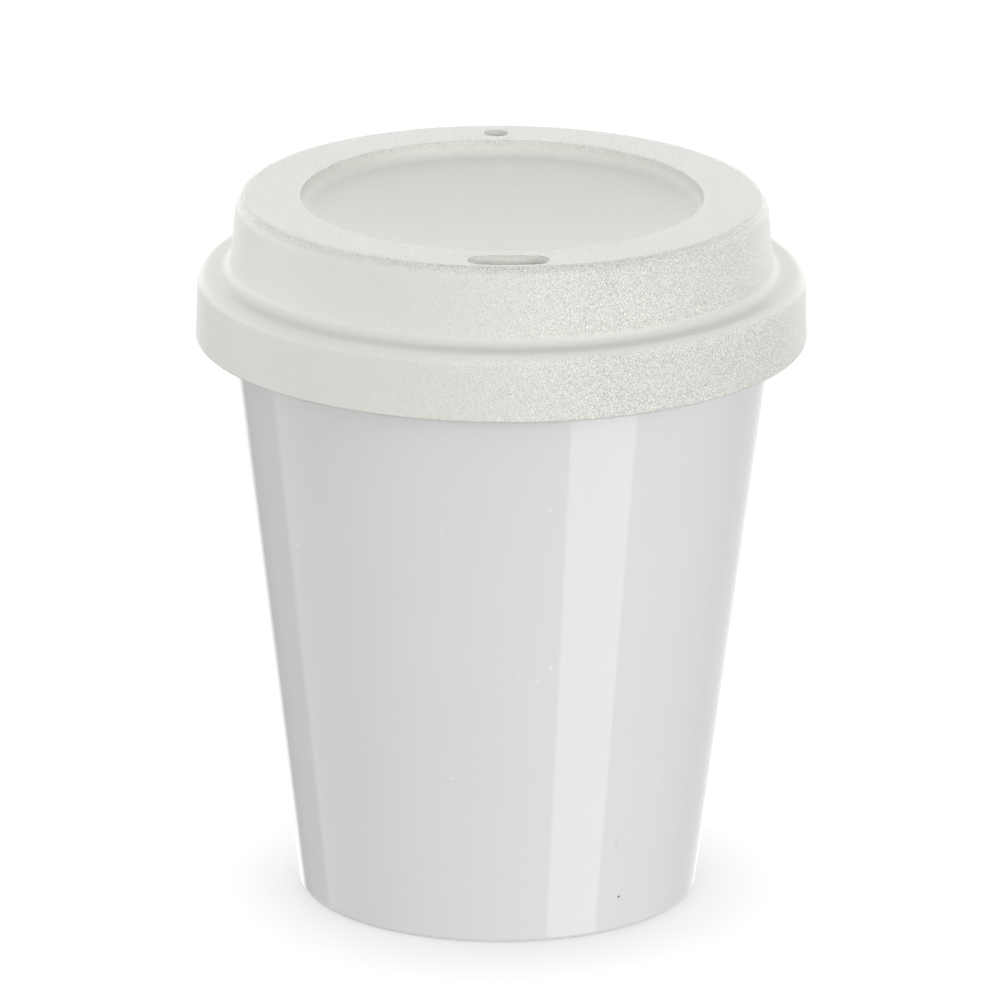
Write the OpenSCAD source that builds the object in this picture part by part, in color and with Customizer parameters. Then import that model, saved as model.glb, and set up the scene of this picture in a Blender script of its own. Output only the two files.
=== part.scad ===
// Tapered drinking cup with a press-on sipping lid.
// Millimetres, +Z up. The origin is the middle of the face that the cup stands on.
// The lid is moulded in one piece: skirt, step, raised ring, dish, grip bead and sealing lip.

/* [Cup] */
// Height from the table to the top of the rim
cup_h = 95.3; // [80:0.1:120]
// Outside diameter at the foot
foot_d = 60.1; // [50:0.1:66]
// Outside diameter of the wall at the mouth
mouth_d = 83.7; // [81:0.1:92]
// Thickness of the side wall
cup_wall = 1.8; // [1.2:0.1:2.4]
// Thickness of the floor
cup_floor = 2.2; // [1.4:0.1:4]
// Height of the ring that it stands on
foot_h = 1.8; // [0.8:0.1:4]
// Width of the ring that it stands on
foot_w = 3.0; // [2.4:0.1:6]
// Rounding of the foot's outer edge
foot_round = 0.8; // [0.3:0.1:1.2]
// Rounding where the inside wall meets the floor
floor_round = 5; // [1:0.5:8]
// Diameter of the moulding dimple under the floor
dimple_d = 7; // [4:0.5:12]
// Depth of the moulding dimple
dimple_depth = 0.5; // [0.2:0.1:0.8]

/* [Rim of the cup] */
// How far the rim stands out from the wall
rim_w = 1.75; // [1.4:0.05:2.4]
// Height of the rim's outer band
rim_h = 4.2; // [3:0.1:6]
// Rounding of the rim's edges
rim_round = 0.8; // [0.4:0.1:1]

/* [Lid] */
// Thickness of the lid's walls
lid_wall = 1.6; // [1.2:0.1:2]
// Height of the skirt, from its lower edge to the step
skirt_h = 10.25; // [8.5:0.05:14]
// How much wider the skirt's radius is at its lower edge than at the step
skirt_flare = 0.35; // [0:0.05:0.8]
// Rounding at the top of the skirt
skirt_round = 1.8; // [0.5:0.1:2.4]
// Width of the step between the skirt and the raised ring
step_w = 4.65; // [4.3:0.05:5.2]
// Rounding at the foot of the raised ring
step_round = 1.2; // [0.4:0.1:2]
// Height of the raised ring above the step
ring_h = 11.55; // [8:0.05:18]
// How much the raised ring's wall leans in over its height
ring_lean = 1.2; // [0:0.1:1.8]
// Rounding of the ring's outer top edge
ring_round = 1.9; // [0.8:0.1:2.4]
// Rounding of the lid's inner corners
inner_round = 0.5; // [0.2:0.1:0.8]
// Rounding of the lid's thin edges
edge_round = 0.4; // [0.2:0.05:0.5]

/* [Dish in the lid] */
// Diameter of the dish
dish_d = 60.5; // [50:0.1:63]
// Depth at the middle of the dish
dish_depth = 5; // [3.5:0.1:7]
// Height of the dish's steep side
dish_side_h = 2.2; // [1.8:0.1:3]
// Rounding between the side and the bowl of the dish
dish_round = 1.6; // [0.6:0.1:2.2]
// Rounding of the edge between the ring and the dish
dish_edge = 0.25; // [0.1:0.05:0.5]

/* [Openings in the lid] */
// Length of the drinking slot along the ring
slot_l = 12; // [8:0.1:22]
// Width of the drinking slot
slot_w = 4.8; // [3.2:0.1:5.4]
// Diameter of the vent
vent_d = 3.6; // [1.5:0.1:4.5]
// How far the vent lies from the middle of the ring's flat top, towards the dish
vent_in = 0.75; // [0:0.05:1]

/* [Fit of the lid] */
// Room between the rim and the top of the skirt
skirt_gap = 0.45; // [0.3:0.05:0.8]
// Room between the sealing lip and the cup's inside wall
lip_gap = 0.3; // [0.2:0.05:0.5]
// Depth of the sealing lip below the rim
lip_h = 6.5; // [5:0.1:9]
// Thickness of the sealing lip
lip_wall = 1.3; // [1.1:0.1:1.6]
// Depth of the sealing bead below the rim
seal_depth = 3.9; // [2.5:0.1:5]
// Radius of the sealing bead's section
seal_r = 0.8; // [0.6:0.05:1]
// Room between the sealing bead and the cup's inside wall
seal_gap = 0.1; // [0.05:0.01:0.15]
// Depth of the grip bead below the rim's outer band
grip_depth = 0.9; // [0.8:0.1:2]
// Radius of the grip bead's section
grip_r = 0.7; // [0.6:0.05:0.9]
// Room that the grip bead leaves as it passes the rim
grip_gap = 0.15; // [0.1:0.01:0.25]

/* [Hidden] */
$fn = 180;
// How far a cutter runs past the face that it cuts, and a rounding's piece past the corner
past = 1;
corner_past = 0.3;
// How far a rounding's circle runs over the lines that it touches, so that no sliver is left
lap = 0.001;

// The cup's side wall
foot_r = foot_d / 2;
mouth_r = mouth_d / 2;
slope = (mouth_r - foot_r) / cup_h;
wall_across = cup_wall * sqrt(1 + slope * slope);
function cup_out(z) = foot_r + slope * z;
function cup_in(z) = cup_out(z) - wall_across;
floor_z = foot_h + cup_floor;
rim_r = mouth_r + rim_w;
rim_foot_z = cup_h - rim_h;
// The hollow under the floor widens downwards a little, so that the cup leaves its mould
recess_draft = 0.15;
recess_round = 0.6;
recess_r = cup_out(foot_h) - foot_w;

// The lid's heights, counted from the flat top of the cup's rim that it sits on
ledge_z = lid_wall;
lid_top = ledge_z + ring_h;
skirt_z = ledge_z - skirt_h;
lip_z = -lip_h;
seal_z = -seal_depth;
grip_z = -rim_h - grip_depth;
// The lip's inside runs into the ring's inside between these two heights
lip_join_z = ledge_z / 2;
ring_join_z = ledge_z * 2;

// The lid's radii, worked out from the cup's rim and its inside wall
skirt_r = rim_r + skirt_gap + lid_wall;
ring_foot_r = skirt_r - step_w;
function skirt_out(z) = skirt_r + skirt_flare * (ledge_z - z) / skirt_h;
function skirt_in(z) = skirt_out(z) - lid_wall;
function ring_out(z) = ring_foot_r - ring_lean * (z - ledge_z) / ring_h;
function ring_in(z) = ring_out(z) - lid_wall;
function lip_out(z) = cup_in(cup_h + z) - lip_gap;
function lip_in(z) = lip_out(z) - lip_wall;

// The dish: a slope and a flat middle that one wide rounding makes into a bowl
dish_r = dish_d / 2;
dish_z = lid_top - dish_depth;
bowl_r = dish_r / 2;
bowl_turn = atan((dish_depth - dish_side_h) / bowl_r);
bowl_round = (bowl_r - dish_round) / tan(bowl_turn / 2);
// The same corners on the underside, a wall's thickness away
under_bowl_r = bowl_r + lid_wall * tan(bowl_turn / 2);
under_side_z = dish_z + (bowl_r + lid_wall) * tan(bowl_turn) - lid_wall / cos(bowl_turn);

// The slot lies along the middle of the ring's flat top, and the vent nearly so
hole_r = (dish_r + ring_out(lid_top)) / 2;
vent_r = hole_r - vent_in;

function unit(v) = v / norm(v);

// The piece between the arc that rounds a corner b and its sides, from a anticlockwise to c
module corner_piece(a, b, c, r) {
    to_a = unit(a - b);
    to_c = unit(c - b);
    half = acos(to_a * to_c) / 2;
    mid = b + unit(to_a + to_c) * r / sin(half);
    ends = [b + to_a * r / tan(half), b, b + to_c * r / tan(half)];
    difference() {
        polygon([mid, for (p = ends) p + unit(p - mid) * corner_past]);
        translate(mid) circle(r + lap);
    }
}

// A section with true round corners. A corner is [x, y, rounding], and they run anticlockwise.
module section(corners) {
    n = len(corners);
    xy = [for (p = corners) [p[0], p[1]]];
    function last(i) = xy[(i + n - 1) % n];
    function next(i) = xy[(i + 1) % n];
    function turn(i) = cross(xy[i] - last(i), next(i) - xy[i]);
    difference() {
        union() {
            polygon(xy);
            for (i = [0 : n - 1]) {
                if (corners[i][2] > 0 && turn(i) < 0) corner_piece(next(i), xy[i], last(i), corners[i][2]);
            }
        }
        for (i = [0 : n - 1]) {
            if (corners[i][2] > 0 && turn(i) > 0) corner_piece(last(i), xy[i], next(i), corners[i][2]);
        }
    }
}

// Half section of the cup, from the middle of its underside outwards
module cup_section() {
    section([
        [0, foot_h + dimple_depth, 0],
        [dimple_d / 2, foot_h + dimple_depth, 0],
        [dimple_d / 2, foot_h, 0],
        [recess_r, foot_h, recess_round],
        [recess_r + recess_draft, 0, 0],
        [foot_r, 0, foot_round],
        [cup_out(rim_foot_z), rim_foot_z, rim_round],
        [rim_r, rim_foot_z, rim_round],
        [rim_r, cup_h, rim_round],
        [cup_in(cup_h), cup_h, rim_round],
        [cup_in(floor_z), floor_z, floor_round],
        [0, floor_z, 0]
    ]);
}

// A round bead on a wall. Only the part on one side of the wall's middle line is kept, so that the
// wall's other face stays smooth: side is 1 for a bead that stands outwards and -1 for inwards.
module bead(x, z, r, middle_x, side) {
    intersection() {
        translate([x, z]) circle(r);
        translate([side > 0 ? middle_x : middle_x - r * 4, z - r * 2]) square(r * 4);
    }
}

// Half section of the lid, from the inside of the skirt's lower edge outwards
module lid_section() {
    section([
        [skirt_in(skirt_z), skirt_z, edge_round],
        [skirt_out(skirt_z), skirt_z, edge_round],
        [skirt_r, ledge_z, skirt_round],
        [ring_foot_r, ledge_z, step_round],
        [ring_out(lid_top), lid_top, ring_round],
        [dish_r, lid_top, dish_edge],
        [dish_r, lid_top - dish_side_h, dish_round],
        [bowl_r, dish_z, bowl_round],
        [0, dish_z, 0],
        [0, dish_z - lid_wall, 0],
        [under_bowl_r, dish_z - lid_wall, bowl_round + lid_wall],
        [dish_r + lid_wall, under_side_z, inner_round * 2],
        [dish_r + lid_wall, lid_top - lid_wall, inner_round],
        [ring_in(lid_top - lid_wall), lid_top - lid_wall, inner_round],
        [ring_in(ring_join_z), ring_join_z, inner_round],
        [lip_in(lip_join_z), lip_join_z, inner_round],
        [lip_in(lip_z), lip_z, edge_round],
        [lip_out(lip_z), lip_z, edge_round],
        [lip_out(0), 0, 0],
        [skirt_in(0), 0, inner_round]
    ]);
    bead(cup_in(cup_h + seal_z) - seal_gap - seal_r, seal_z, seal_r, lip_out(seal_z) - lip_wall / 2, 1);
    bead(rim_r + grip_gap + grip_r, grip_z, grip_r, skirt_in(grip_z) + lid_wall / 2, -1);
}

// Outline of the drinking slot, bent along the ring, with round ends
module slot_outline() {
    turn = (slot_l - slot_w) / 2 / hole_r * 180 / PI;
    reach = hole_r + slot_w;
    intersection() {
        difference() {
            circle(hole_r + slot_w / 2);
            circle(hole_r - slot_w / 2);
        }
        polygon([[0, 0], [-reach * tan(turn), -reach], [reach * tan(turn), -reach]]);
    }
    for (end = [-turn, turn]) {
        rotate(end) translate([0, -hole_r]) circle(slot_w / 2 + lap);
    }
}

module cup() {
    color([0.94, 0.94, 0.94]) rotate_extrude() cup_section();
}

module lid() {
    cut_z = lid_top - lid_wall - past;
    cut_h = lid_wall + past * 2;
    color([0.84, 0.85, 0.82]) translate([0, 0, cup_h]) difference() {
        rotate_extrude() lid_section();
        translate([0, 0, cut_z]) linear_extrude(cut_h) slot_outline();
        translate([0, vent_r, cut_z]) cylinder(h = cut_h, d = vent_d);
    }
}

cup();
lid();
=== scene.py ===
"""Looks of the tapered plastic cup and its moulded sipping lid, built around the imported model."""

import math

import bmesh
import bpy
from bpy.props import FloatProperty, FloatVectorProperty, IntProperty, PointerProperty
from mathutils import Matrix, Vector


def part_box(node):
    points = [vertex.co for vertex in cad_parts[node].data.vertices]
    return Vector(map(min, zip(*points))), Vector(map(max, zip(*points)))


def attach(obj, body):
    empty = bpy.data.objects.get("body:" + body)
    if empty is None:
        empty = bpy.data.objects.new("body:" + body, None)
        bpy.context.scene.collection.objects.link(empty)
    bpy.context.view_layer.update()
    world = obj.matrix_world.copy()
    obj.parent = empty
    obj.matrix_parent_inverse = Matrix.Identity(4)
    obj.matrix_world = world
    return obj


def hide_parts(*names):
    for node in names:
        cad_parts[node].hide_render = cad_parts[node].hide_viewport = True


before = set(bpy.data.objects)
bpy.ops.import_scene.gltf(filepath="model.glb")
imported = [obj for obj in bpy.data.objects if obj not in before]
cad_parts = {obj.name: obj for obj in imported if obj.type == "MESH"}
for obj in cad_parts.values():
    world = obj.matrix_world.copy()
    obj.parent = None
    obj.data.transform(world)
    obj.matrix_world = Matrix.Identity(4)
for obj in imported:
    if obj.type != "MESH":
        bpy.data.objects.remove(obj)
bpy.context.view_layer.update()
CUP_LOW, CUP_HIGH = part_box("cup")
LID_LOW, LID_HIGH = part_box("lid")

bl_info = {
    "name": "Plastic cup with sipping lid",
    "version": (1, 0, 0),
    "blender": (4, 5, 0),
    "location": "3D View > Sidebar > Cup",
    "description": "Builds a tapered plastic cup, its moulded lid and a plain studio",
    "category": "Object",
}


def length(name, default, description):
    """A length in metres that a user can change."""
    return FloatProperty(
        name=name, description=description, default=default, min=0, precision=5, unit="LENGTH"
    )


def angle(name, degrees, description):
    """An angle that a user can change, given here in degrees."""
    return FloatProperty(
        name=name,
        description=description,
        default=math.radians(degrees),
        subtype="ANGLE",
        unit="ROTATION",
    )


def share(name, default, description, highest=1):
    """A plain number from 0 to highest."""
    return FloatProperty(
        name=name, description=description, default=default, min=0, max=highest, precision=4
    )


def tint(name, default, description):
    """A colour in linear red, green and blue."""
    return FloatVectorProperty(
        name=name, description=description, default=default, size=3, subtype="COLOR", min=0, max=1
    )


class CupSizes(bpy.types.PropertyGroup):
    """Sizes of the cup."""

    height: length("Height", CUP_HIGH.z, "From the table to the top of the rim")
    foot_d: length("Foot diameter", 0.0601, "Outside diameter at the foot")
    mouth_d: length("Mouth diameter", 0.0837, "Outside diameter of the wall at the mouth")
    wall: length("Wall", 0.0018, "Thickness of the side wall")
    floor: length("Floor", 0.0022, "Thickness of the floor")
    foot_h: length("Foot height", 0.0018, "Height of the ring that it stands on")
    foot_w: length("Foot width", 0.003, "Width of the ring that it stands on")
    foot_round: length("Foot rounding", 0.0008, "Rounding of the foot's outer edge")
    floor_round: length("Floor rounding", 0.005, "Rounding where the inside wall meets the floor")
    dimple_d: length("Dimple diameter", 0.007, "Moulding dimple under the floor")
    dimple_depth: length("Dimple depth", 0.0005, "Depth of the moulding dimple")
    recess_draft: length("Recess draft", 0.00015, "Widening of the hollow under the floor")
    recess_round: length("Recess rounding", 0.0006, "Rounding in the hollow under the floor")
    rim_r: length("Rim radius", CUP_HIGH.x, "Outside radius of the rim band")
    rim_h: length("Rim height", 0.0042, "Height of the rim's outer band")
    rim_round: length("Rim rounding", 0.0008, "Rounding of the rim's edges")


class LidSizes(bpy.types.PropertyGroup):
    """Sizes of the lid, with heights counted from the rim that it sits on."""

    wall: length("Wall", 0.0016, "Thickness of the lid's walls")
    skirt_gap: length("Skirt gap", 0.00045, "Room between the rim and the top of the skirt")
    skirt_flare: length("Skirt flare", 0.00035, "How much wider the lower edge is than the step")
    skirt_round: length("Skirt rounding", 0.0018, "Rounding at the top of the skirt")
    step_w: length("Step", 0.00465, "Width of the step between the skirt and the ring")
    step_round: length("Step rounding", 0.0017, "Rounding at the foot of the ring")
    ring_lean: length("Ring lean", 0.0012, "How much the ring's wall leans in")
    ring_round: length("Ring rounding", 0.0019, "Rounding of the ring's outer top edge")
    inner_round: length("Inner rounding", 0.0005, "Rounding of the lid's inner corners")
    edge_round: length("Edge rounding", 0.0004, "Rounding of the thin edges")
    dish_d: length("Dish diameter", 0.0605, "Diameter of the dish")
    dish_depth: length("Dish depth", 0.005, "Depth at the middle of the dish")
    dish_side_h: length("Dish side", 0.0022, "Height of the dish's steep side")
    dish_round: length("Dish rounding", 0.0016, "Rounding between the side and the bowl")
    dish_edge: length("Dish edge", 0.00025, "Rounding between the ring and the dish")
    slot_l: length("Slot length", 0.012, "Length of the drinking slot along the ring")
    slot_w: length("Slot width", 0.0048, "Width of the drinking slot")
    vent_d: length("Vent diameter", 0.0036, "Diameter of the vent")
    vent_in: length("Vent shift", 0.00075, "Distance of the vent from the ring's middle")
    hole_round: length("Hole rounding", 0.00015, "Rounding of the holes' upper edges")
    lip_gap: length("Lip gap", 0.0003, "Room between the sealing lip and the cup")
    lip_h: length("Lip height", 0.0065, "Depth of the sealing lip below the rim")
    lip_wall: length("Lip wall", 0.0013, "Thickness of the sealing lip")
    seal_depth: length("Seal depth", 0.0039, "Depth of the sealing bead below the rim")
    seal_r: length("Seal radius", 0.0008, "Radius of the sealing bead's section")
    seal_gap: length("Seal gap", 0.0001, "Room between the sealing bead and the cup")
    grip_depth: length("Grip depth", 0.0009, "Depth of the grip bead below the rim band")
    grip_r: length("Grip radius", 0.0007, "Radius of the grip bead's section")
    grip_gap: length("Grip gap", 0.00015, "Room that the grip bead leaves at the rim")


class MeshDetail(bpy.types.PropertyGroup):
    """How finely the turned pieces are divided."""

    steps_round: IntProperty(
        name="Steps round", description="Faces round a turned piece", default=256, min=24, max=360
    )
    steps_corner: IntProperty(
        name="Steps in a rounding", description="Points in a rounding", default=7, min=2, max=16
    )
    steps_hole: IntProperty(
        name="Steps round a hole's end",
        description="Points in a half turn",
        default=24,
        min=6,
        max=64,
    )


class Finish(bpy.types.PropertyGroup):
    """Colours and surface of the two plastics."""

    cup_color: tint("Cup colour", (0.71, 0.71, 0.715), "Glossy white plastic")
    cup_rough: share("Cup roughness", 0.05, "Roughness of the glossy wall")
    lid_color: tint("Lid colour", (0.69, 0.7, 0.655), "Satin off-white plastic")
    lid_rough: share("Lid roughness", 0.4, "Roughness of the satin surface")
    # Painted light: a paler colour for the walls of the slot and the vent, in place of their shade
    painted_light_color: tint("Pale colour", (0.91, 0.93, 0.865), "Walls of the slot and the vent")
    ring_rough: share("Ring roughness", 0.25, "Roughness of the raised ring's flat top")
    grain: length("Grain size", 0.00015, "Width of one grain in the lid's surface")
    grain_h: length("Grain height", 0.0001, "Height of the grain in the lid's surface")
    # The grain's lighter and darker tone is partly its own and partly painted glints and painted
    # shade in its pockets
    grain_glint_tone: share("Grain tone", 0.75, "How much lighter and darker the grain makes the lid")
    haze: length("Haze", 0.012, "Size of the patches of faint haze on the cup")
    dust_color: tint("Dust colour", (0.95, 0.95, 0.95), "Tiny points of pale dust on the cup")
    speck_color: tint("Speck colour", (0.12, 0.11, 0.1), "Dark speck and thin arc on the cup")


class StudioSizes(bpy.types.PropertyGroup):
    """Camera, floor and lamps."""

    camera_back: length("Camera distance", 1.6692, "Distance of the camera from the cup's axis")
    camera_h: length("Camera height", 0.5864, "Height of the camera above the floor")
    camera_turn: angle("Camera azimuth", -1.7, "Angle of the camera from the slot's side")
    camera_roll: angle("Camera roll", 0.41, "Tilt of the camera about its own axis")
    aim_h: length("Aim height", 0.0604, "Height on the cup's axis in the middle of the picture")
    lens: FloatProperty(name="Lens", description="Focal length", default=416.6, unit="CAMERA")
    key_turn: angle("Key azimuth", 45, "Angle of the key light from the camera's side")
    key_back: length("Key distance", 1.1, "Distance of the key light from the cup")
    key_w: length("Key width", 0.62, "Width of the key light's soft box")
    key_top: length("Key top", 0.6, "Height of the top of the key light's soft box")
    key_foot: FloatProperty(
        name="Key foot",
        description="Height of the foot of the key light's soft box, which reaches below the floor",
        default=-1.0,
        unit="LENGTH",
    )
    key_level: share("Key level", 1.75, "Brightness of the key light's face", 10)
    top_level: share("Top level", 1.0, "Brightness of the studio overhead", 10)
    studio_level: share("Studio level", 0.88, "Share of all the levels round the cup", 10)


# Nodes

def add(tree, kind, inputs=None, **settings):
    """Adds a node, sets its settings and fills or links its inputs."""
    made = tree.nodes.new(kind)
    for key, value in settings.items():
        setattr(made, key, value)
    for socket, value in (inputs or {}).items():
        if isinstance(value, bpy.types.NodeSocket):
            tree.links.new(value, made.inputs[socket])
        else:
            made.inputs[socket].default_value = value
    return made


def maths(tree, operation, first, second=0.0, third=0.0):
    """A Math node's result."""
    return add(
        tree, "ShaderNodeMath", {0: first, 1: second, 2: third}, operation=operation
    ).outputs[0]


def new_socket(tree, name, kind, way="INPUT", default=None):
    """Adds a named socket to a node group."""
    made = tree.interface.new_socket(name=name, in_out=way, socket_type=kind)
    if default is not None:
        made.default_value = default
    return made


def turned_tree():
    """Geometry Nodes that round an outline's corners, turn it about +Z and cut the holes."""
    tree = bpy.data.node_groups.new("Turned piece", "GeometryNodeTree")
    tree.is_modifier = True
    new_socket(tree, "Geometry", "NodeSocketGeometry")
    new_socket(tree, "Steps round", "NodeSocketInt", default=256)
    new_socket(tree, "Steps in a rounding", "NodeSocketInt", default=8)
    new_socket(tree, "Turning radius", "NodeSocketFloat", default=0.03)
    new_socket(tree, "Sharp angle", "NodeSocketFloat", default=math.radians(35))
    new_socket(tree, "Holes", "NodeSocketObject")
    new_socket(tree, "Material", "NodeSocketMaterial")
    new_socket(tree, "Geometry", "NodeSocketGeometry", way="OUTPUT")
    given = add(tree, "NodeGroupInput").outputs

    rounding = add(tree, "GeometryNodeInputNamedAttribute", {"Name": "rounding"}, data_type="FLOAT")
    outline = add(tree, "GeometryNodeMeshToCurve", {"Mesh": given["Geometry"]})
    rounded = add(
        tree,
        "GeometryNodeFilletCurve",
        {
            "Curve": outline.outputs["Curve"],
            "Count": given["Steps in a rounding"],
            "Radius": rounding.outputs["Attribute"],
            "Limit Radius": True,
        },
        mode="POLY",
    )
    place = add(tree, "GeometryNodeInputPosition")
    axes = add(tree, "ShaderNodeSeparateXYZ", {0: place.outputs[0]}).outputs
    section = add(
        tree,
        "ShaderNodeCombineXYZ",
        {
            "X": maths(tree, "SUBTRACT", axes["X"], given["Turning radius"]),
            "Y": maths(tree, "MULTIPLY", axes["Z"], -1.0),
        },
    )
    profile = add(
        tree,
        "GeometryNodeSetPosition",
        {"Geometry": rounded.outputs["Curve"], "Position": section.outputs[0]},
    )
    circle = add(
        tree,
        "GeometryNodeCurvePrimitiveCircle",
        {"Resolution": given["Steps round"], "Radius": given["Turning radius"]},
        mode="RADIUS",
    )
    turned = add(
        tree,
        "GeometryNodeCurveToMesh",
        {"Curve": circle.outputs["Curve"], "Profile Curve": profile.outputs["Geometry"]},
    )
    closed = add(
        tree, "GeometryNodeMergeByDistance", {"Geometry": turned.outputs["Mesh"], "Distance": 1e-6}
    )
    cutters = add(tree, "GeometryNodeObjectInfo", {"Object": given["Holes"]})
    cut = add(
        tree,
        "GeometryNodeMeshBoolean",
        {"Mesh 1": closed.outputs["Geometry"]},
        operation="DIFFERENCE",
        solver="EXACT",
    )
    tree.links.new(cutters.outputs["Geometry"], cut.inputs["Mesh 2"])
    clean = add(
        tree, "GeometryNodeMergeByDistance", {"Geometry": cut.outputs["Mesh"], "Distance": 1e-6}
    )
    smooth = add(
        tree,
        "GeometryNodeSetShadeSmooth",
        {"Geometry": clean.outputs["Geometry"], "Shade Smooth": True},
    )
    edge = add(tree, "GeometryNodeInputMeshEdgeAngle").outputs["Unsigned Angle"]
    sharp = add(
        tree,
        "GeometryNodeStoreNamedAttribute",
        {
            "Geometry": smooth.outputs["Geometry"],
            "Name": "sharp_edge",
            "Value": add(
                tree,
                "FunctionNodeCompare",
                {"A": edge, "B": given["Sharp angle"]},
                data_type="FLOAT",
                operation="GREATER_THAN",
            ).outputs["Result"],
        },
        data_type="BOOLEAN",
        domain="EDGE",
    )
    real = add(tree, "GeometryNodeRealizeInstances", {0: sharp.outputs["Geometry"]})
    painted = add(
        tree,
        "GeometryNodeSetMaterial",
        {"Geometry": real.outputs["Geometry"], "Material": given["Material"]},
    )
    add(tree, "NodeGroupOutput", {0: painted.outputs["Geometry"]})
    return tree


def set_input(modifier, name, value):
    """Sets a Geometry Nodes input by the identifier of its socket."""
    for item in modifier.node_group.interface.items_tree:
        if item.item_type == "SOCKET" and item.in_out == "INPUT" and item.name == name:
            modifier[item.identifier] = value
            return
    raise RuntimeError(f"the tree has no input named {name}")


# Outlines

def cup_outline(s):
    """Corners of the cup's half section, from the middle of its underside outwards."""
    foot_r = s.foot_d / 2
    slope = (s.mouth_d / 2 - foot_r) / s.height
    across = s.wall * math.hypot(1, slope)

    def outside(z):
        return foot_r + slope * z

    floor_z = s.foot_h + s.floor
    rim_foot = s.height - s.rim_h
    recess_r = outside(s.foot_h) - s.foot_w
    return [
        (0, s.foot_h + s.dimple_depth, 0),
        (s.dimple_d / 2, s.foot_h + s.dimple_depth, 0),
        (s.dimple_d / 2, s.foot_h, 0),
        (recess_r, s.foot_h, s.recess_round),
        (recess_r + s.recess_draft, 0, 0),
        (foot_r, 0, s.foot_round),
        (outside(rim_foot), rim_foot, s.rim_round),
        (s.rim_r, rim_foot, s.rim_round),
        (s.rim_r, s.height, s.rim_round),
        (outside(s.height) - across, s.height, s.rim_round),
        (outside(floor_z) - across, floor_z, s.floor_round),
        (0, floor_z, 0),
    ]


def bead(start, end, middle, radius, steps):
    """Points of a round bead that stands out of the line from start to end, on its right side."""
    start, end, middle = Vector(start), Vector(end), Vector(middle)
    along = (end - start).normalized()
    away = Vector((along.y, -along.x))
    depth = (middle - start).dot(away)
    foot = start + along * (middle - start).dot(along)
    half = math.sqrt(radius**2 - depth**2)
    first = math.atan2(depth, half)
    sweep = math.pi + 2 * first
    points = []
    for i in range(steps + 1):
        turn = math.pi + first - sweep * i / steps
        offset = along * math.cos(turn) * radius + away * (math.sin(turn) * radius + depth)
        points.append((*(foot + offset), 0))
    return points


def lid_outline(c, s, steps):
    """Corners of the lid's half section, from the middle of its underside round to the dish."""
    rim_z = c.height
    ledge_z = rim_z + s.wall
    top_z = LID_HIGH.z
    edge_z = LID_LOW.z
    skirt_r = c.rim_r + s.skirt_gap + s.wall
    ring_r = skirt_r - s.step_w
    slope = (c.mouth_d - c.foot_d) / 2 / c.height
    across = c.wall * math.hypot(1, slope)

    def skirt_in(z):
        return skirt_r + s.skirt_flare * (ledge_z - z) / (ledge_z - edge_z) - s.wall

    def ring_in(z):
        return ring_r - s.ring_lean * (z - ledge_z) / (top_z - ledge_z) - s.wall

    def cup_in(z):
        return c.foot_d / 2 + slope * z - across

    def lip_out(z):
        return cup_in(z) - s.lip_gap

    dish_r = s.dish_d / 2
    dish_z = top_z - s.dish_depth
    bowl_r = dish_r / 2
    bowl_turn = math.atan((s.dish_depth - s.dish_side_h) / bowl_r)
    bowl_round = (bowl_r - s.dish_round) / math.tan(bowl_turn / 2)
    under_bowl_r = bowl_r + s.wall * math.tan(bowl_turn / 2)
    under_side_z = dish_z + (bowl_r + s.wall) * math.tan(bowl_turn) - s.wall / math.cos(bowl_turn)
    under_top_z = top_z - s.wall
    lip_join_z = rim_z + s.wall / 2
    ring_join_z = rim_z + s.wall * 2
    lip_z = rim_z - s.lip_h
    seal_z = rim_z - s.seal_depth
    grip_z = rim_z - c.rim_h - s.grip_depth
    lip_low = (lip_out(lip_z), lip_z)
    lip_high = (lip_out(rim_z), rim_z)
    skirt_high = (skirt_in(rim_z), rim_z)
    skirt_low = (skirt_in(edge_z), edge_z)
    seal = (cup_in(seal_z) - s.seal_gap - s.seal_r, seal_z)
    grip = (c.rim_r + s.grip_gap + s.grip_r, grip_z)
    return [
        (0, dish_z - s.wall, 0),
        (under_bowl_r, dish_z - s.wall, bowl_round + s.wall),
        (dish_r + s.wall, under_side_z, s.inner_round * 2),
        (dish_r + s.wall, under_top_z, s.inner_round),
        (ring_in(under_top_z), under_top_z, s.inner_round),
        (ring_in(ring_join_z), ring_join_z, s.inner_round),
        (lip_out(lip_join_z) - s.lip_wall, lip_join_z, s.inner_round),
        (lip_out(lip_z) - s.lip_wall, lip_z, s.edge_round),
        (*lip_low, s.edge_round),
        *bead(lip_low, lip_high, seal, s.seal_r, steps),
        (*lip_high, 0),
        (*skirt_high, s.inner_round),
        *bead(skirt_high, skirt_low, grip, s.grip_r, steps),
        (*skirt_low, s.edge_round),
        (skirt_r + s.skirt_flare, edge_z, s.edge_round),
        (skirt_r, ledge_z, s.skirt_round),
        (ring_r, ledge_z, s.step_round),
        (ring_in(top_z) + s.wall, top_z, s.ring_round),
        (dish_r, top_z, s.dish_edge),
        (dish_r, top_z - s.dish_side_h, s.dish_round),
        (bowl_r, dish_z, bowl_round),
        (0, dish_z, 0),
    ]


def outline_object(name, corners):
    """A line of edges in the XZ plane, with each corner's rounding as an attribute."""
    mesh = bpy.data.meshes.new(name)
    points = [(x, 0, z) for x, z, _ in corners]
    mesh.from_pydata(points, [(i, i + 1) for i in range(len(points) - 1)], [])
    rounding = mesh.attributes.new("rounding", "FLOAT", "POINT")
    rounding.data.foreach_set("value", [r for _, _, r in corners])
    made = bpy.data.objects.new(name, mesh)
    bpy.context.scene.collection.objects.link(made)
    return made


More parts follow.
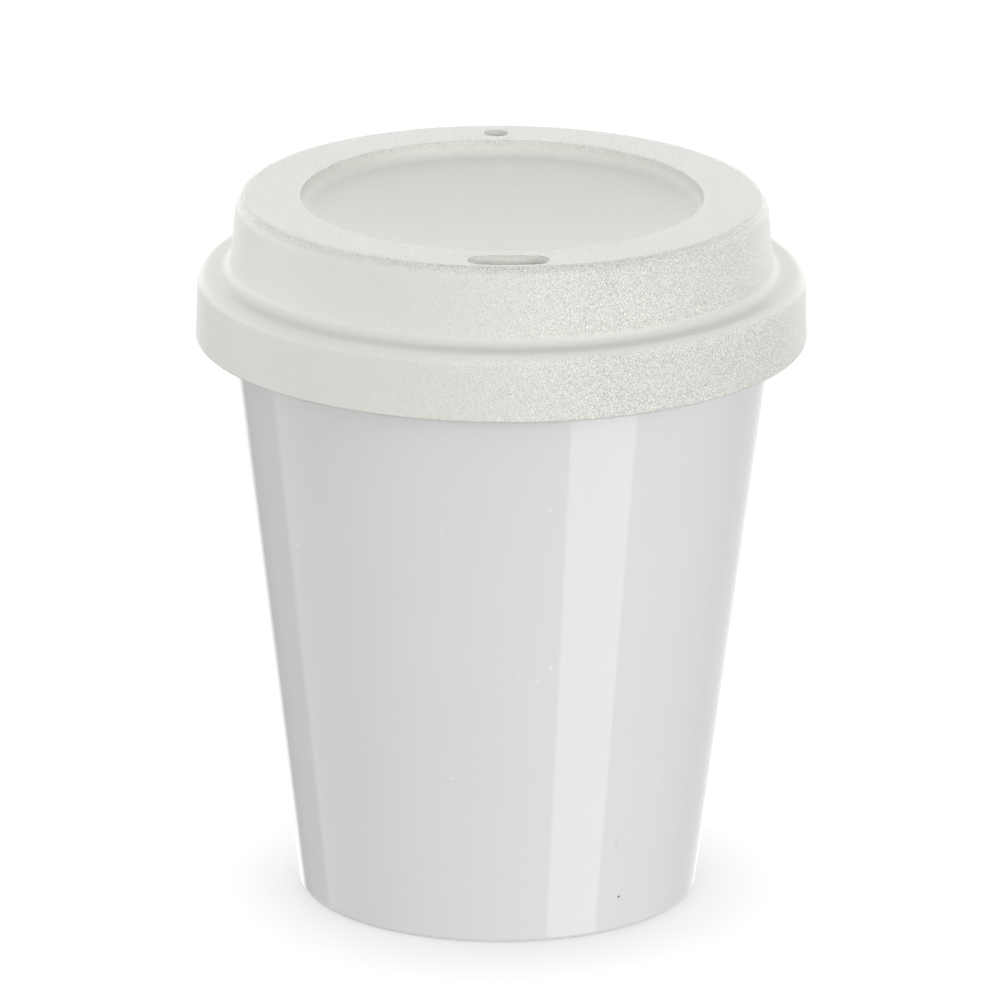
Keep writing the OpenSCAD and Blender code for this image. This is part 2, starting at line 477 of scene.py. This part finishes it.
def hole_levels(edge_round, low_z, top_z, steps=6):
    """Height and outward offset of each level of a cutter whose upper edge flares out."""
    flare_z = top_z - edge_round
    levels = [(low_z, 0.0)]
    for i in range(steps + 1):
        turn = math.radians(80) * i / steps
        levels.append((flare_z + edge_round * math.sin(turn), edge_round * (1 - math.cos(turn))))
    past = top_z - levels[-1][0]
    levels.append((top_z + past, levels[-1][1] + 2 * past / math.tan(math.radians(10))))
    return levels


def slot_ring(s, middle_r, offset, steps):
    """Outline of the slot, bent along the ring on the -Y side, with round ends."""
    turn = (s.slot_l - s.slot_w) / 2 / middle_r
    half = s.slot_w / 2 + offset
    points = []
    for i in range(steps + 1):
        a = -turn + 2 * turn * i / steps
        points.append(((middle_r + half) * math.sin(a), -(middle_r + half) * math.cos(a)))
    for i in range(1, steps):
        a = turn + math.pi * i / steps
        x = middle_r * math.sin(turn) + half * math.sin(a)
        points.append((x, -middle_r * math.cos(turn) - half * math.cos(a)))
    for i in range(steps + 1):
        a = turn - 2 * turn * i / steps
        points.append(((middle_r - half) * math.sin(a), -(middle_r - half) * math.cos(a)))
    for i in range(1, steps):
        a = math.pi - turn + math.pi * i / steps
        x = -middle_r * math.sin(turn) + half * math.sin(a)
        points.append((x, -middle_r * math.cos(turn) - half * math.cos(a)))
    return points


def vent_ring(s, middle_r, offset, steps):
    """Outline of the vent, on the +Y side."""
    r = s.vent_d / 2 + offset
    turns = [math.pi * i / steps for i in range(2 * steps)]
    return [(r * math.cos(a), middle_r - s.vent_in + r * math.sin(a)) for a in turns]


def hole_cutters(s, middle_r, steps):
    """One object that holds the closed cutters of the slot and the vent."""
    work = bmesh.new()
    for ring in (slot_ring, vent_ring):
        levels = [
            [work.verts.new((x, y, z)) for x, y in ring(s, middle_r, offset, steps)]
            for z, offset in hole_levels(s.hole_round, LID_HIGH.z - 2 * s.wall, LID_HIGH.z)
        ]
        work.faces.new(levels[0][::-1])
        work.faces.new(levels[-1])
        for low, high in zip(levels, levels[1:]):
            for i, corner in enumerate(low):
                nxt = (i + 1) % len(low)
                work.faces.new((corner, low[nxt], high[nxt], high[i]))
    bmesh.ops.recalc_face_normals(work, faces=work.faces)
    mesh = bpy.data.meshes.new("lid_hole_cutters")
    work.to_mesh(mesh)
    work.free()
    made = bpy.data.objects.new("lid_hole_cutters", mesh)
    bpy.context.scene.collection.objects.link(made)
    return made


def turn_piece(name, corners, material, holes=None):
    """Turns an outline into a plain closed mesh by Geometry Nodes, and gives the new object."""
    detail = bpy.context.scene.cup_detail
    source = outline_object(name + "_outline", corners)
    tree = bpy.data.node_groups.get("Turned piece") or turned_tree()
    nodes = source.modifiers.new("Turned piece", "NODES")
    nodes.node_group = tree
    set_input(nodes, "Steps round", detail.steps_round)
    set_input(nodes, "Steps in a rounding", detail.steps_corner)
    set_input(nodes, "Turning radius", max(x for x, _, _ in corners) / 2)
    set_input(nodes, "Holes", holes)
    set_input(nodes, "Material", material)
    weighted = source.modifiers.new("Even shading", "WEIGHTED_NORMAL")
    weighted.keep_sharp = True
    bpy.context.view_layer.update()
    shown = source.evaluated_get(bpy.context.evaluated_depsgraph_get())
    mesh = bpy.data.meshes.new_from_object(shown)
    if not mesh.polygons:
        raise RuntimeError(f"the tree made no faces for {name}")
    made = bpy.data.objects.new(name, mesh)
    bpy.context.scene.collection.objects.link(made)
    for used in (source, holes):
        if used:
            bpy.data.objects.remove(used)
    return made


# Finishes

def plastic(name, color, roughness):
    """A new node material with its Principled shader."""
    made = bpy.data.materials.new(name)
    made.use_nodes = True
    shader = made.node_tree.nodes["Principled BSDF"]
    shader.inputs["Base Color"].default_value = (*color, 1)
    shader.inputs["Roughness"].default_value = roughness
    shader.inputs["IOR"].default_value = 1.5
    return made, made.node_tree, shader


# How strong the grain and its painted glints are round the lid's walls, as pairs of azimuth in
# degrees and share. Azimuth 0 is the slot's side and positive is towards +X. They are strongest at
# the right, where the key light falls, and faint at the left front.
GRAIN_GLINT_ROUND = (
    (-180, 0.5),
    (-72, 0.4),
    (-55, 0.06),
    (-35, 0.1),
    (-10, 0.45),
    (18, 1.45),
    (60, 1.5),
    (76, 0.4),
    (180, 0.5),
)
# The cup's own marks in the photo: azimuth in degrees, height and radius in millimetres
DUST_POINTS = (
    (9.2, 70.7, 0.2),
    (10.8, 45.3, 0.3),
    (7.7, 43.3, 0.22),
    (3.0, 44.0, 0.18),
    (-13.4, 27.0, 0.25),
    (-9.9, 20.2, 0.18),
    (44.9, 23.7, 0.2),
    (-55.4, 60.0, 0.28),
    (-65.2, 59.4, 0.2),
    (-14.7, 67.4, 0.18),
)
DARK_SPECK = (34.8, 5.7, 0.22)
# A faint thin arc, left between two round marks of one size
ARC_OUTER = (33.9, 14.9, 1.25)
ARC_INNER = (34.3, 14.9, 1.25)
# How strongly the dust and the arc show, from 0 to 1
DUST_SHARE = 0.5
ARC_SHARE = 0.12
# What the haze changes on the cup: its tone each way, and its roughness from least to most
HAZE_TONE = 0.015
HAZE_ROUGH = 0.02
# The lid's grain: its strength on the ring and in the dish, the share of it that the step lacks,
# and the value that its palest grains stop at
RING_GRAIN = 1.8
DISH_GRAIN = 0.2
STEP_SMOOTH = 0.9
GRAIN_CREST = 0.8


def azimuth(tree, axes):
    """Angle about +Z from -Y, positive towards +X, in radians."""
    return maths(tree, "ARCTAN2", axes["X"], maths(tree, "MULTIPLY", axes["Y"], -1.0))


def level_round(tree, turn, levels):
    """A value by azimuth, from pairs of degrees and value in rising order."""
    highest = max(level for degrees, level in levels)
    position = maths(tree, "MULTIPLY_ADD", turn, 1 / (2 * math.pi), 0.5)
    ramp = add(tree, "ShaderNodeValToRGB", {"Fac": position})
    points = ramp.color_ramp.elements
    for degrees, level in levels[1:-1]:
        points.new((degrees + 180) / 360).color = (level / highest,) * 3 + (1,)
    points[0].color = (levels[0][1] / highest,) * 3 + (1,)
    points[-1].color = (levels[-1][1] / highest,) * 3 + (1,)
    return maths(tree, "MULTIPLY", ramp.outputs["Color"], highest)


def blend(tree, value, middle, half, lower, upper):
    """The lower input below the middle value and the upper input above it."""
    share_up = add(
        tree,
        "ShaderNodeMapRange",
        {"Value": value, "From Min": middle - half, "From Max": middle + half},
    )
    mix = add(
        tree,
        "ShaderNodeMix",
        {0: share_up.outputs["Result"], 2: lower, 3: upper},
        data_type="FLOAT",
    )
    return mix.outputs[0]


def between(tree, value, low, high, soft):
    """1 where a value lies between two bounds and 0 outside them."""
    return blend(tree, value, high, soft, blend(tree, value, low, soft, 0.0, 1.0), 0.0)


def grain_group():
    """Shader group of the lid: its moulded grain with painted glints, the ring's polish and painted
    light on the walls of its slot and vent.
    """
    cup, lid = bpy.context.scene.cup_sizes, bpy.context.scene.lid_sizes
    top_z, ledge_z, dish_r = LID_HIGH.z, cup.height + lid.wall, lid.dish_d / 2
    ring_top_r = cup.rim_r + lid.skirt_gap + lid.wall - lid.step_w - lid.ring_lean
    tree = bpy.data.node_groups.new("Moulded grain", "ShaderNodeTree")
    new_socket(tree, "Grain size", "NodeSocketFloat", default=0.0003)
    new_socket(tree, "Grain", "NodeSocketFloat", way="OUTPUT")
    new_socket(tree, "Polish", "NodeSocketFloat", way="OUTPUT")
    new_socket(tree, "Painted light", "NodeSocketFloat", way="OUTPUT")
    given = add(tree, "NodeGroupInput").outputs
    where = add(tree, "ShaderNodeTexCoord").outputs["Object"]
    noise = add(
        tree,
        "ShaderNodeTexNoise",
        {
            "Vector": where,
            "Scale": maths(tree, "DIVIDE", 1.0, given["Grain size"]),
            "Detail": 1.0,
            "Roughness": 0.6,
        },
    )
    axes = add(tree, "ShaderNodeSeparateXYZ", {0: where}).outputs
    # The strength round the walls follows where the key light falls: real grain with painted glints
    walls = level_round(tree, azimuth(tree, axes), GRAIN_GLINT_ROUND)
    flat = add(tree, "ShaderNodeCombineXYZ", {"X": axes["X"], "Y": axes["Y"]}).outputs[0]
    radius = add(tree, "ShaderNodeVectorMath", {0: flat}, operation="LENGTH").outputs["Value"]
    # The step carries hardly any grain
    step = between(tree, axes["Z"], ledge_z - 0.0006, ledge_z + 0.0012, 0.0003)
    kept = maths(tree, "SUBTRACT", 1.0, maths(tree, "MULTIPLY", step, STEP_SMOOTH))
    walls = maths(tree, "MULTIPLY", walls, kept)
    outer = blend(tree, axes["Z"], top_z - 0.0006, 0.0005, walls, RING_GRAIN)
    strength = blend(tree, radius, dish_r, 0.0006, DISH_GRAIN, outer)
    centred = maths(tree, "SUBTRACT", noise.outputs[0], 0.5)
    grain = maths(tree, "MULTIPLY_ADD", centred, strength, 0.5)
    grain = maths(tree, "MINIMUM", grain, GRAIN_CREST)
    polish = blend(tree, axes["Z"], top_z - 0.0006, 0.0005, 0.0, 1.0)
    # Below the flat ring and between its two edges lie only the walls of the slot and the vent,
    # which get painted light: a paler colour in place of their shade
    across = between(tree, radius, dish_r + 0.0006, ring_top_r - 0.0014, 0.0001)
    down = between(tree, axes["Z"], top_z - lid.wall, top_z - lid.hole_round, 0.00005)
    hole = maths(tree, "MULTIPLY", across, down)
    add(tree, "NodeGroupOutput", {0: grain, 1: polish, 2: hole})
    return tree


def haze_group():
    """Shader group: soft uneven haze from 0 to 1, as handling leaves on smooth plastic."""
    tree = bpy.data.node_groups.new("Soft haze", "ShaderNodeTree")
    new_socket(tree, "Patch size", "NodeSocketFloat", default=0.02)
    new_socket(tree, "Haze", "NodeSocketFloat", way="OUTPUT")
    given = add(tree, "NodeGroupInput").outputs
    where = add(tree, "ShaderNodeTexCoord").outputs["Object"]
    noise = add(
        tree,
        "ShaderNodeTexNoise",
        {
            "Vector": where,
            "Scale": maths(tree, "DIVIDE", 1.0, given["Patch size"]),
            "Detail": 3.0,
            "Roughness": 0.5,
        },
    )
    add(tree, "NodeGroupOutput", {0: noise.outputs[0]})
    return tree


def mark_group():
    """Shader group: 1 inside a small round mark at a place on the surface, 0 outside it."""
    tree = bpy.data.node_groups.new("Round mark", "ShaderNodeTree")
    new_socket(tree, "Place", "NodeSocketVector")
    new_socket(tree, "Radius", "NodeSocketFloat", default=0.0002)
    new_socket(tree, "Mark", "NodeSocketFloat", way="OUTPUT")
    given = add(tree, "NodeGroupInput").outputs
    where = add(tree, "ShaderNodeTexCoord").outputs["Object"]
    away = add(
        tree, "ShaderNodeVectorMath", {0: where, 1: given["Place"]}, operation="DISTANCE"
    ).outputs["Value"]
    inside = add(
        tree,
        "ShaderNodeMapRange",
        {
            "Value": away,
            "From Min": maths(tree, "MULTIPLY", given["Radius"], 0.7),
            "From Max": given["Radius"],
            "To Min": 1.0,
            "To Max": 0.0,
        },
    )
    add(tree, "NodeGroupOutput", {0: inside.outputs["Result"]})
    return tree


def cup_mark(tree, group, mark):
    """The mask of one mark on the cup's wall, from its azimuth, height and radius."""
    c = bpy.context.scene.cup_sizes
    degrees, height, radius = mark[0], mark[1] / 1000, mark[2] / 1000
    wall_r = c.foot_d / 2 + (c.mouth_d - c.foot_d) / 2 * height / c.height
    turn = math.radians(degrees)
    made = add(tree, "ShaderNodeGroup", node_tree=group)
    made.inputs["Place"].default_value = (
        wall_r * math.sin(turn),
        -wall_r * math.cos(turn),
        height,
    )
    made.inputs["Radius"].default_value = radius
    return made.outputs["Mark"]


def over(tree, factor, under, upper):
    """A colour with another laid over it."""
    made = add(tree, "ShaderNodeMix", {0: factor}, data_type="RGBA")
    for socket, color in ((6, under), (7, upper)):
        if isinstance(color, bpy.types.NodeSocket):
            tree.links.new(color, made.inputs[socket])
        else:
            made.inputs[socket].default_value = (*color, 1)
    return made.outputs[2]


def cup_plastic():
    """Smooth glossy white plastic with a faint haze, dust points, a dark speck and a thin arc."""
    f = bpy.context.scene.cup_finish
    made, tree, shader = plastic("glossy_white_plastic", f.cup_color, f.cup_rough)
    haze = add(tree, "ShaderNodeGroup", node_tree=haze_group())
    haze.inputs["Patch size"].default_value = f.haze
    haze = haze.outputs["Haze"]
    low, high = (tuple(v * k for v in f.cup_color) for k in (1 - HAZE_TONE, 1 + HAZE_TONE))
    color = over(tree, haze, low, high)
    marks = mark_group()
    dust = 0.0
    for point in DUST_POINTS:
        dust = maths(tree, "MAXIMUM", cup_mark(tree, marks, point), dust)
    color = over(tree, maths(tree, "MULTIPLY", dust, DUST_SHARE), color, f.dust_color)
    outer, inner = cup_mark(tree, marks, ARC_OUTER), cup_mark(tree, marks, ARC_INNER)
    arc = maths(tree, "MAXIMUM", maths(tree, "SUBTRACT", outer, inner), 0.0)
    color = over(tree, maths(tree, "MULTIPLY", arc, ARC_SHARE), color, f.speck_color)
    color = over(tree, cup_mark(tree, marks, DARK_SPECK), color, f.speck_color)
    tree.links.new(color, shader.inputs["Base Color"])
    rough = maths(tree, "MULTIPLY_ADD", haze, HAZE_ROUGH, f.cup_rough - HAZE_ROUGH / 2)
    tree.links.new(rough, shader.inputs["Roughness"])
    return made


def lid_plastic():
    """Satin off-white plastic with a fine moulded grain and painted glints, a smoother ring and
    painted light on the hole walls.
    """
    f = bpy.context.scene.cup_finish
    made, tree, shader = plastic("satin_grained_plastic", f.lid_color, f.lid_rough)
    group = add(tree, "ShaderNodeGroup", node_tree=grain_group())
    group.inputs["Grain size"].default_value = f.grain
    grain, polish, pale = (group.outputs[name] for name in ("Grain", "Polish", "Painted light"))
    rough = maths(tree, "MULTIPLY_ADD", polish, f.ring_rough - f.lid_rough, f.lid_rough)
    tree.links.new(rough, shader.inputs["Roughness"])
    # The grain's tone is partly the plastic's own and partly painted glints and painted shade in
    # its pockets, strongest where the key light falls
    low, high = (tuple(v * k for v in f.lid_color) for k in (1 - f.grain_glint_tone, 1 + f.grain_glint_tone))
    # The walls of the slot and the vent take the painted light colour, which lightens their shade
    color = over(tree, pale, over(tree, grain, low, high), f.painted_light_color)
    tree.links.new(color, shader.inputs["Base Color"])
    bump = add(
        tree, "ShaderNodeBump", {"Height": grain, "Strength": 1.0, "Distance": f.grain_h}
    )
    tree.links.new(bump.outputs["Normal"], shader.inputs["Normal"])
    return made


# Pieces and stage

class CUP_OT_cup(bpy.types.Operator):
    """Turn the cup and give it its glossy plastic"""

    bl_idname = "cup.cup"
    bl_label = "Cup"

    def execute(self, context):
        piece = turn_piece("cup_shell", cup_outline(context.scene.cup_sizes), cup_plastic())
        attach(piece, "cup")
        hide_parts("cup")
        return {"FINISHED"}


class CUP_OT_lid(bpy.types.Operator):
    """Turn the lid, cut its slot and vent and give it its grained plastic"""

    bl_idname = "cup.lid"
    bl_label = "Lid"

    def execute(self, context):
        cup, lid, detail = (
            context.scene.cup_sizes,
            context.scene.lid_sizes,
            context.scene.cup_detail,
        )
        ring_top_r = cup.rim_r + lid.skirt_gap + lid.wall - lid.step_w - lid.ring_lean
        middle_r = (lid.dish_d / 2 + ring_top_r) / 2
        holes = hole_cutters(lid, middle_r, detail.steps_hole)
        corners = lid_outline(cup, lid, detail.steps_corner)
        piece = turn_piece("lid_shell", corners, lid_plastic(), holes)
        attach(piece, "lid")
        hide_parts("lid")
        return {"FINISHED"}


def soft_box(name, size, level, place, aim):
    """A rectangular area lamp whose face has the given brightness."""
    data = bpy.data.lights.new(name, "AREA")
    data.shape = "RECTANGLE"
    data.size, data.size_y = size
    data.energy = level * math.pi * size[0] * size[1]
    made = bpy.data.objects.new(name, data)
    made.location = place
    made.rotation_euler = (Vector(aim) - Vector(place)).to_track_quat("-Z", "Y").to_euler()
    made.visible_camera = False
    bpy.context.scene.collection.objects.link(made)
    return made


# Brightness of the studio round the cup, as pairs of azimuth in degrees and level. Azimuth 0 is the
# camera's side and positive is to the right. Below the horizon the wall of the cup mirrors a dark
# flag at the left behind it and the pale backdrop that lights both of its edges.
LOW_LEVELS = (
    (-180, 1.7),
    (-161, 1.5),
    (-154, 0.25),
    (-123, 0.1),
    (-120, 0.85),
    (-95, 0.45),
    (-45, 0.55),
    (-15, 0.1),
    (25, 0.05),
    (65, 0.3),
    (100, 0.45),
    (130, 0.45),
    (152, 0.9),
    (180, 1.7),
)
# Round the horizon: the bright backdrop behind, and pale walls at both sides
HORIZON_LEVELS = (
    (-180, 2.7),
    (-160, 2.7),
    (-150, 1.6),
    (-125, 1.7),
    (-115, 3.0),
    (-70, 2.8),
    (-45, 1.1),
    (-25, 0),
    (20, 0.4),
    (40, 4.0),
    (60, 1.8),
    (75, 0.5),
    (95, 0.1),
    (115, 0.1),
    (130, 1.5),
    (155, 2.7),
    (180, 2.7),
)
# Just above it, at the camera's own height: the wide soft box in front of the cup
BOX_LEVELS = (
    (-180, 2.2),
    (-150, 1.8),
    (-105, 2.2),
    (-75, 2.1),
    (-45, 3.7),
    (-15, 5.1),
    (15, 5.4),
    (45, 4.0),
    (75, 1.7),
    (100, 0.5),
    (115, 0.5),
    (135, 2.0),
    (180, 2.2),
)
# Higher up: the dim room over the soft box, paler over the backdrop
HIGH_LEVELS = (
    (-180, 1.6),
    (-150, 1.1),
    (-100, 0.7),
    (-75, 0.4),
    (-45, 0.4),
    (-15, 0.6),
    (15, 0.9),
    (45, 0.5),
    (75, 0.2),
    (110, 0.2),
    (130, 1.2),
    (180, 1.6),
)


def studio_world(top_level, studio_level):
    """White for the camera, and a soft studio all round for light and reflections."""
    world = bpy.data.worlds.new("studio")
    world.use_nodes = True
    tree = world.node_tree
    tree.nodes.clear()
    way = add(tree, "ShaderNodeTexCoord").outputs["Generated"]
    axes = add(tree, "ShaderNodeSeparateXYZ", {0: way}).outputs
    turn = azimuth(tree, axes)
    rise = maths(tree, "ARCSINE", axes["Z"])
    low, horizon, box, high = (
        level_round(tree, turn, x) for x in (LOW_LEVELS, HORIZON_LEVELS, BOX_LEVELS, HIGH_LEVELS)
    )
    level = low
    for middle, half, upper in ((-12, 4, horizon), (9, 2, box), (18, 2, high), (60, 4, top_level)):
        level = blend(tree, rise, math.radians(middle), math.radians(half), level, upper)
    level = maths(tree, "MULTIPLY", level, studio_level)
    studio = add(tree, "ShaderNodeBackground", {"Color": (1, 1, 1, 1), "Strength": level})
    white = add(tree, "ShaderNodeBackground", {"Color": (1, 1, 1, 1), "Strength": 1.0})
    seen = add(tree, "ShaderNodeLightPath").outputs["Is Camera Ray"]
    mix = add(tree, "ShaderNodeMixShader", {0: seen, 1: studio.outputs[0], 2: white.outputs[0]})
    add(tree, "ShaderNodeOutputWorld", {"Surface": mix.outputs[0]})
    bpy.context.scene.world = world


def floor_paint():
    """Plain pale floor: white to the camera, and darker only where the cup shades it."""
    made = bpy.data.materials.new("pale_floor")
    made.use_nodes = True
    tree = made.node_tree
    tree.nodes.clear()
    matt = add(tree, "ShaderNodeBsdfDiffuse", {"Color": (0.5, 0.5, 0.5, 1)})
    seen = add(tree, "ShaderNodeLightPath").outputs["Is Camera Ray"]
    near = add(tree, "ShaderNodeAmbientOcclusion", {"Distance": 0.022}).outputs["AO"]
    lit = maths(tree, "MULTIPLY_ADD", near, 0.33, 0.31)
    white = add(
        tree,
        "ShaderNodeEmission",
        {"Color": (1, 1, 1, 1), "Strength": maths(tree, "MULTIPLY", seen, lit)},
    )
    both = add(tree, "ShaderNodeAddShader", {0: matt.outputs[0], 1: white.outputs[0]})
    add(tree, "ShaderNodeOutputMaterial", {"Surface": both.outputs[0]})
    return made


class CUP_OT_stage(bpy.types.Operator):
    """Set up the camera, the pale floor and the soft studio light"""

    bl_idname = "cup.stage"
    bl_label = "Stage"

    def execute(self, context):
        s = context.scene.cup_studio
        data = bpy.data.cameras.new("camera")
        data.lens = s.lens
        data.sensor_width = 36
        data.clip_start, data.clip_end = 0.1, 20
        camera = bpy.data.objects.new("camera", data)
        turned = Matrix.Rotation(s.camera_turn, 4, "Z")
        camera.location = turned @ Vector((0, -s.camera_back, s.camera_h))
        facing = (Vector((0, 0, s.aim_h)) - camera.location).to_track_quat("-Z", "Y")
        camera.rotation_mode = "QUATERNION"
        camera.rotation_quaternion = facing @ Matrix.Rotation(s.camera_roll, 3, "Z").to_quaternion()
        context.scene.collection.objects.link(camera)
        context.scene.camera = camera

        mesh = bpy.data.meshes.new("floor")
        half = 3.0
        corners = [(-half, -half, 0), (half, -half, 0), (half, half, 0), (-half, half, 0)]
        mesh.from_pydata(corners, [], [(0, 1, 2, 3)])
        mesh.materials.append(floor_paint())
        floor = bpy.data.objects.new("floor", mesh)
        floor.visible_glossy = False
        floor.visible_diffuse = False
        floor.visible_shadow = False
        context.scene.collection.objects.link(floor)

        key_middle = (s.key_top + s.key_foot) / 2
        key_place = (
            s.key_back * math.sin(s.key_turn),
            -s.key_back * math.cos(s.key_turn),
            key_middle,
        )
        key_size = (s.key_w, s.key_top - s.key_foot)
        soft_box("key_light", key_size, s.key_level, key_place, (0, 0, key_middle))
        studio_world(s.top_level, s.studio_level)
        context.scene.view_settings.view_transform = "Standard"
        return {"FINISHED"}


class CUP_PT_panel(bpy.types.Panel):
    """Sizes, finishes and build buttons of the cup"""

    bl_label = "Plastic cup"
    bl_idname = "CUP_PT_panel"
    bl_space_type = "VIEW_3D"
    bl_region_type = "UI"
    bl_category = "Cup"

    def draw(self, context):
        for operator in (CUP_OT_cup, CUP_OT_lid, CUP_OT_stage):
            self.layout.operator(operator.bl_idname)
        for name in GROUPS:
            group = getattr(context.scene, name)
            box = self.layout.box()
            for key in group.__annotations__:
                box.prop(group, key)


GROUPS = {
    "cup_sizes": CupSizes,
    "lid_sizes": LidSizes,
    "cup_detail": MeshDetail,
    "cup_finish": Finish,
    "cup_studio": StudioSizes,
}
CLASSES = (*GROUPS.values(), CUP_OT_cup, CUP_OT_lid, CUP_OT_stage, CUP_PT_panel)


def register():
    for cls in CLASSES:
        bpy.utils.register_class(cls)
    for name, cls in GROUPS.items():
        setattr(bpy.types.Scene, name, PointerProperty(type=cls))


def unregister():
    for name in GROUPS:
        delattr(bpy.types.Scene, name)
    for cls in reversed(CLASSES):
        bpy.utils.unregister_class(cls)


def main():
    """Builds the pieces and the stage in order."""
    register()
    bpy.ops.cup.cup()
    bpy.ops.cup.lid()
    bpy.ops.cup.stage()


if __name__ == "__main__":
    main()
